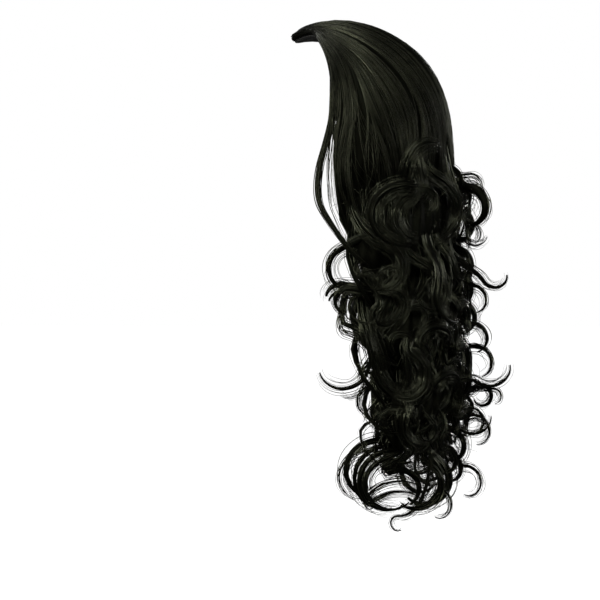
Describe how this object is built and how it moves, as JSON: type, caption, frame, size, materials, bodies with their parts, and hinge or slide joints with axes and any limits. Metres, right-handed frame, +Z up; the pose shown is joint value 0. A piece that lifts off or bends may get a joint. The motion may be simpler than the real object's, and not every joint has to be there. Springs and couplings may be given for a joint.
{
  "type": "half wig",
  "caption": "Half wig worn on the back and top of the head: smooth combed crown over a hollow cap, with a long fall of loose black curls and a thin lock before each ear.",
  "frame": {"origin": "the top of the wearer's head, on the inside of the cap", "axes": "+Z up, the wearer looks along -Y, +X is the wearer's left and +Y the back"},
  "size_m": [0.2113, 0.2252, 0.508],
  "materials": {
    "cap_net": "matt black elastic net",
    "comb_plastic": "plain black moulded plastic",
    "crown_hair": "smooth combed black hair with a soft sheen",
    "curled_hair": "loose curled black hair with a soft sheen"
  },
  "bodies": {
    "root": {"cap": "cap_net", "front_comb": "comb_plastic", "crown_hair": "crown_hair", "left_curls": "curled_hair", "back_curls": "curled_hair", "right_curls": "curled_hair", "left_ear_lock": "curled_hair", "right_ear_lock": "curled_hair"}
  },
  "joints": []
}
